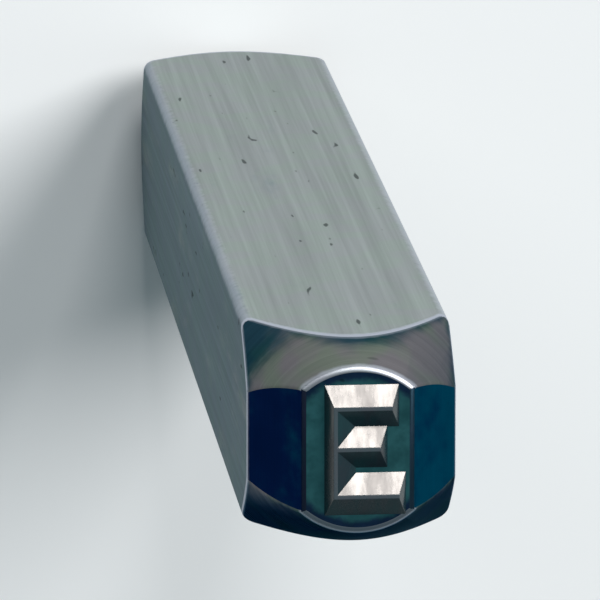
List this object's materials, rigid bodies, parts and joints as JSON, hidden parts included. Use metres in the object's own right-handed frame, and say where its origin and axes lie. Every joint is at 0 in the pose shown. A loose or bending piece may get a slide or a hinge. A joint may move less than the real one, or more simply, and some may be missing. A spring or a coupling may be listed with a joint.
{
  "type": "steel letter punch",
  "caption": "Square steel hand punch with a chamfered struck end and a turned, side-ground tip that carries a raised block letter for marking metal by hammer blow.",
  "frame": {"origin": "middle of the flat struck end, on the punch's axis, where it stands", "axes": "+Z along the punch from the struck end to the letter; +Y up on the letter; +X to its right as it is read from above"},
  "size_m": [0.009, 0.009, 0.065],
  "materials": {
    "blackened_steel": "black oxide over turned, ground and pressed tool steel, rubbed to bare metal on the edges and on the letter"
  },
  "bodies": {
    "root": {"letter_punch": "blackened_steel"}
  },
  "joints": []
}
